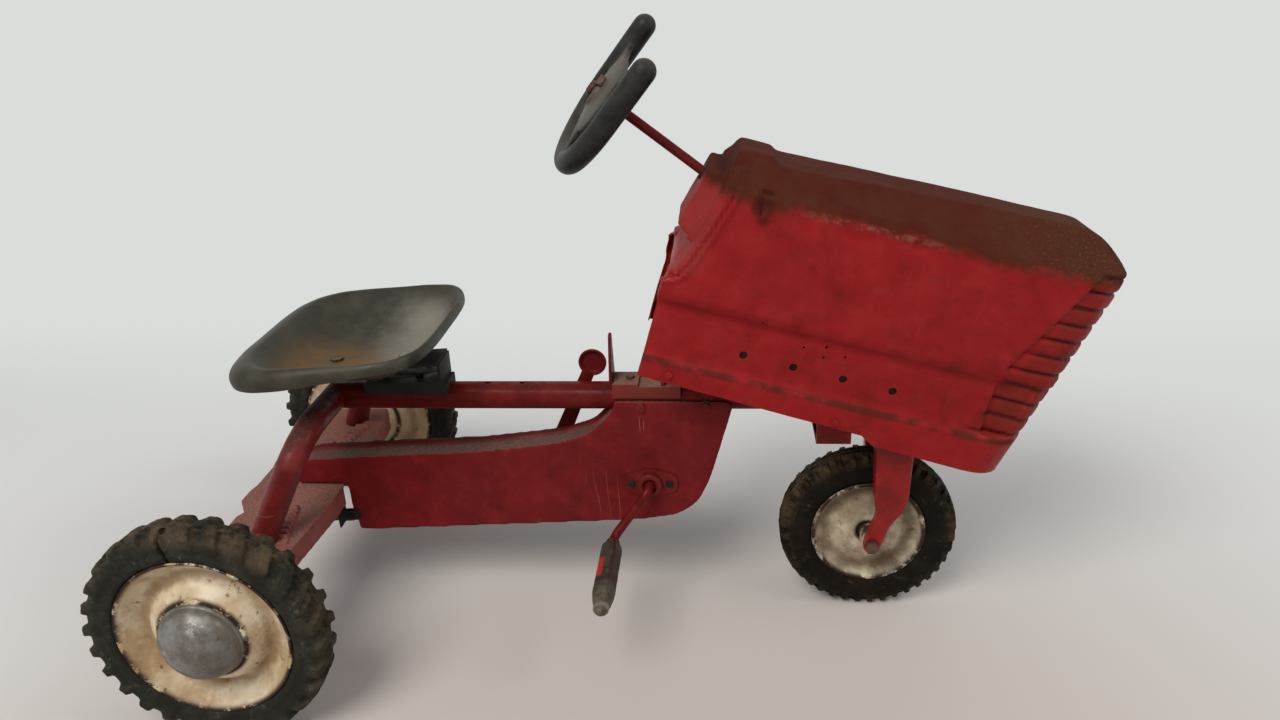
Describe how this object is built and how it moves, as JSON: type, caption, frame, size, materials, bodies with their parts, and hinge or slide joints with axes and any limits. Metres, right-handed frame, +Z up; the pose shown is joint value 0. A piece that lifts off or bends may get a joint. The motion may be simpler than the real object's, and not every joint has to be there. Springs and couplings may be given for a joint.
{
  "type": "pedal tractor",
  "caption": "Child's pedal tractor with a chain drive to the rear axle, a steered single front wheel, a pressed seat, a U-shaped steering wheel and a ribbed hood.",
  "frame": {"origin": "on the floor, under the middle of the bounding box", "axes": "+X forward along the tractor, +Y to its left, +Z up"},
  "size_m": [0.9897, 0.5442, 0.6461],
  "materials": {
    "red_paint": "faded, worn through to rust on top",
    "cream_paint": "aged, satin, with rust stains",
    "black_paint": "worn, satin",
    "tyre_rubber": "dusty, matte",
    "pedal_rubber": "matte",
    "black_plastic": "worn, satin",
    "tarnished_plate": "tarnished",
    "worn_steel": "dull",
    "rusty_steel": "rusty, matte"
  },
  "bodies": {
    "chassis": {"main_beam": "red_paint", "head_tube": "red_paint", "rear_arch": "red_paint", "axle_housing": "red_paint", "axle_bush_left": "worn_steel", "axle_bush_right": "worn_steel", "chain": "rusty_steel", "crank_flange_left": "red_paint", "crank_flange_right": "red_paint", "flange_screws": "worn_steel", "chain_case_right": "red_paint", "chain_case_left": "red_paint", "case_spacers": "rusty_steel", "case_bolts": "worn_steel", "housing_stay": "worn_steel", "hood": "red_paint", "hood_bracket": "red_paint", "hood_stop": "red_paint", "hood_cross_bracket": "red_paint", "hood_screws": "worn_steel", "frame_screws": "worn_steel", "dash_bushing": "black_plastic", "column_bracket": "rusty_steel", "seat_saddle": "rusty_steel", "seat_riser": "rusty_steel", "seat_pan": "black_paint", "saddle_screws": "worn_steel", "seat_bolts": "worn_steel", "lever_bolt": "worn_steel"},
    "driven_axle": {"rear_axle": "worn_steel", "axle_spacers": "worn_steel", "axle_sprocket": "rusty_steel", "axle_pin": "worn_steel", "rear_rim_right": "cream_paint", "rear_tyre_right": "tyre_rubber", "hub_cap_right": "tarnished_plate", "drive_pin": "worn_steel", "axle_nut_left": "worn_steel", "axle_nut_right": "worn_steel"},
    "free_wheel": {"rear_rim_left": "cream_paint", "rear_tyre_left": "tyre_rubber", "hub_cap_left": "tarnished_plate"},
    "crank": {"crank": "red_paint", "crank_sprocket": "rusty_steel", "crank_pin": "worn_steel", "pedal_nuts": "worn_steel"},
    "right_pedal": {"pedal_right": "pedal_rubber"},
    "left_pedal": {"pedal_left": "pedal_rubber"},
    "steered_fork": {"fork": "red_paint", "fork_washer": "rusty_steel", "steering_arm": "rusty_steel", "kingpin_nut": "worn_steel", "front_axle": "worn_steel", "front_axle_nut": "worn_steel"},
    "front_wheel": {"front_rim": "cream_paint", "front_tyre": "tyre_rubber"},
    "steering_rod": {"steering_column": "red_paint", "steering_wheel": "black_plastic", "wheel_strap": "rusty_steel"},
    "lever": {"lever": "red_paint"}
  },
  "joints": [
    {"name": "axle_spin", "type": "hinge", "parent": "chassis", "child": "driven_axle", "pos_m": [-0.37433, 0, 0.12065], "axis": [0, 1, 0], "continuous": true, "deforming": ["chain"]},
    {"name": "free_wheel_spin", "type": "hinge", "parent": "driven_axle", "child": "free_wheel", "pos_m": [-0.37433, 0.229, 0.12065], "axis": [0, 1, 0], "continuous": true},
    {"name": "crank_spin", "type": "hinge", "parent": "chassis", "child": "crank", "pos_m": [0.03578, 0, 0.1627], "axis": [0, 1, 0], "continuous": true},
    {"name": "right_pedal_spin", "type": "hinge", "parent": "crank", "child": "right_pedal", "pos_m": [-0.00455, -0.115, 0.10919], "axis": [0, 1, 0], "continuous": true},
    {"name": "left_pedal_spin", "type": "hinge", "parent": "crank", "child": "left_pedal", "pos_m": [0.0761, 0.115, 0.21621], "axis": [0, 1, 0], "continuous": true},
    {"name": "fork_steer", "type": "hinge", "parent": "chassis", "child": "steered_fork", "pos_m": [0.29367, 0, 0.29], "axis": [0, 0, 1], "range_deg": [-28, 28]},
    {"name": "front_wheel_spin", "type": "hinge", "parent": "steered_fork", "child": "front_wheel", "pos_m": [0.27667, 0, 0.098], "axis": [0, 1, 0], "continuous": true},
    {"name": "rod_turn", "type": "hinge", "parent": "chassis", "child": "steering_rod", "pos_m": [0.02527, 0, 0.5579], "axis": [0.7896, 0, -0.6136], "range_deg": [-30, 30]},
    {"name": "lever_swing", "type": "hinge", "parent": "chassis", "child": "lever", "pos_m": [-0.07422, 0.023, 0.1837], "axis": [0, 1, 0], "range_deg": [-20, 14]}
  ],
  "couplings": [
    {"joint": "crank_spin", "follows": "axle_spin", "ratio": 0.5},
    {"joint": "rod_turn", "follows": "fork_steer", "ratio": -0.962}
  ]
}
